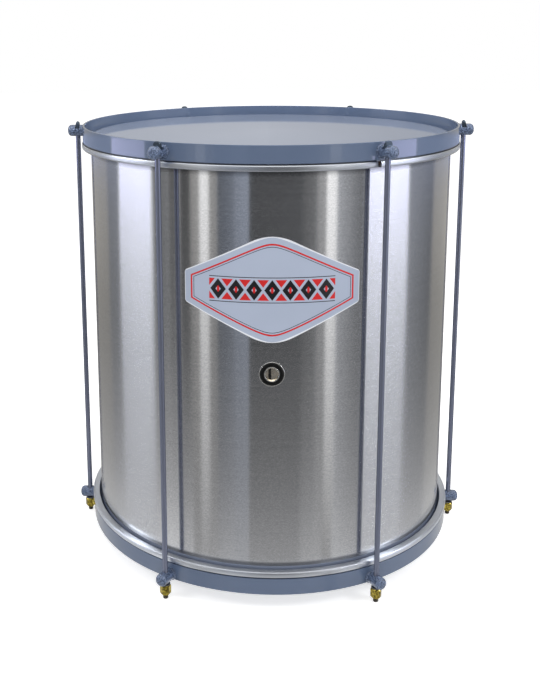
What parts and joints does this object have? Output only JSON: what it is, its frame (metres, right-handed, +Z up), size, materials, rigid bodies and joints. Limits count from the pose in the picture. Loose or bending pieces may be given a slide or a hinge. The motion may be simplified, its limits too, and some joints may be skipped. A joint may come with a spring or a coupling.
{
  "type": "surdo drum",
  "caption": "Deep double-headed bass drum of a samba band: aluminium shell, painted counterhoops and long tension rods drawn up by brass nuts under the lower hoop.",
  "frame": {"origin": "centre of the drum on the plane of the rod tips it stands on", "axes": "+Z up along the drum's axis, front with badge and vent facing -Y, +X to the right seen from the front"},
  "size_m": [0.5796, 0.533, 0.6051],
  "materials": {
    "shell_aluminium": "fine brushed, clear",
    "hoop_aluminium": "drawn, bright",
    "painted_steel": "blue-grey gloss paint",
    "film": "smooth hazy film",
    "badge": "printed, satin",
    "eyelet_chrome": "polished rims, the flange between them blackened",
    "dark_steel": "dull",
    "nut_brass": "machined, bright"
  },
  "bodies": {
    "drum": {"shell": "shell_aluminium", "vent_eyelet": "eyelet_chrome", "front_badge": "badge", "top_head": "film", "bottom_head": "film", "top_flesh_hoop": "hoop_aluminium", "bottom_flesh_hoop": "hoop_aluminium", "top_hoop": "painted_steel", "bottom_hoop": "painted_steel", "bottom_lug_1": "painted_steel", "top_lug_1": "painted_steel", "tension_rod_1": "painted_steel", "bottom_lug_2": "painted_steel", "top_lug_2": "painted_steel", "tension_rod_2": "painted_steel", "bottom_lug_3": "painted_steel", "top_lug_3": "painted_steel", "tension_rod_3": "painted_steel", "bottom_lug_4": "painted_steel", "top_lug_4": "painted_steel", "tension_rod_4": "painted_steel", "bottom_lug_5": "painted_steel", "top_lug_5": "painted_steel", "tension_rod_5": "painted_steel", "bottom_lug_6": "painted_steel", "top_lug_6": "painted_steel", "tension_rod_6": "painted_steel"},
    "washer_1": {"washer_1": "dark_steel"},
    "nut_1": {"tension_nut_1": "nut_brass"},
    "washer_2": {"washer_2": "dark_steel"},
    "nut_2": {"tension_nut_2": "nut_brass"},
    "washer_3": {"washer_3": "dark_steel"},
    "nut_3": {"tension_nut_3": "nut_brass"},
    "washer_4": {"washer_4": "dark_steel"},
    "nut_4": {"tension_nut_4": "nut_brass"},
    "washer_5": {"washer_5": "dark_steel"},
    "nut_5": {"tension_nut_5": "nut_brass"},
    "washer_6": {"washer_6": "dark_steel"},
    "nut_6": {"tension_nut_6": "nut_brass"}
  },
  "joints": [
    {"name": "nut_1_travel", "type": "slide", "parent": "drum", "child": "washer_1", "axis": [0, 0, 1], "range_m": [-0.005, 0]},
    {"name": "nut_1_turn", "type": "hinge", "parent": "washer_1", "child": "nut_1", "pos_m": [-0.13398, -0.24072, 0.012], "axis": [0, 0, 1], "range_deg": [-1800, 0]},
    {"name": "nut_2_travel", "type": "slide", "parent": "drum", "child": "washer_2", "axis": [0, 0, 1], "range_m": [-0.005, 0]},
    {"name": "nut_2_turn", "type": "hinge", "parent": "washer_2", "child": "nut_2", "pos_m": [0.14148, -0.2364, 0.012], "axis": [0, 0, 1], "range_deg": [-1800, 0]},
    {"name": "nut_3_travel", "type": "slide", "parent": "drum", "child": "washer_3", "axis": [0, 0, 1], "range_m": [-0.005, 0]},
    {"name": "nut_3_turn", "type": "hinge", "parent": "washer_3", "child": "nut_3", "pos_m": [0.27547, 0.00433, 0.012], "axis": [0, 0, 1], "range_deg": [-1800, 0]},
    {"name": "nut_4_travel", "type": "slide", "parent": "drum", "child": "washer_4", "axis": [0, 0, 1], "range_m": [-0.005, 0]},
    {"name": "nut_4_turn", "type": "hinge", "parent": "washer_4", "child": "nut_4", "pos_m": [0.13398, 0.24072, 0.012], "axis": [0, 0, 1], "range_deg": [-1800, 0]},
    {"name": "nut_5_travel", "type": "slide", "parent": "drum", "child": "washer_5", "axis": [0, 0, 1], "range_m": [-0.005, 0]},
    {"name": "nut_5_turn", "type": "hinge", "parent": "washer_5", "child": "nut_5", "pos_m": [-0.14148, 0.2364, 0.012], "axis": [0, 0, 1], "range_deg": [-1800, 0]},
    {"name": "nut_6_travel", "type": "slide", "parent": "drum", "child": "washer_6", "axis": [0, 0, 1], "range_m": [-0.005, 0]},
    {"name": "nut_6_turn", "type": "hinge", "parent": "washer_6", "child": "nut_6", "pos_m": [-0.27547, -0.00433, 0.012], "axis": [0, 0, 1], "range_deg": [-1800, 0]}
  ],
  "couplings": [
    {"joint": "nut_1_turn", "follows": "nut_1_travel", "rad_per_m": 6283.2},
    {"joint": "nut_2_turn", "follows": "nut_2_travel", "rad_per_m": 6283.2},
    {"joint": "nut_3_turn", "follows": "nut_3_travel", "rad_per_m": 6283.2},
    {"joint": "nut_4_turn", "follows": "nut_4_travel", "rad_per_m": 6283.2},
    {"joint": "nut_5_turn", "follows": "nut_5_travel", "rad_per_m": 6283.2},
    {"joint": "nut_6_turn", "follows": "nut_6_travel", "rad_per_m": 6283.2}
  ]
}
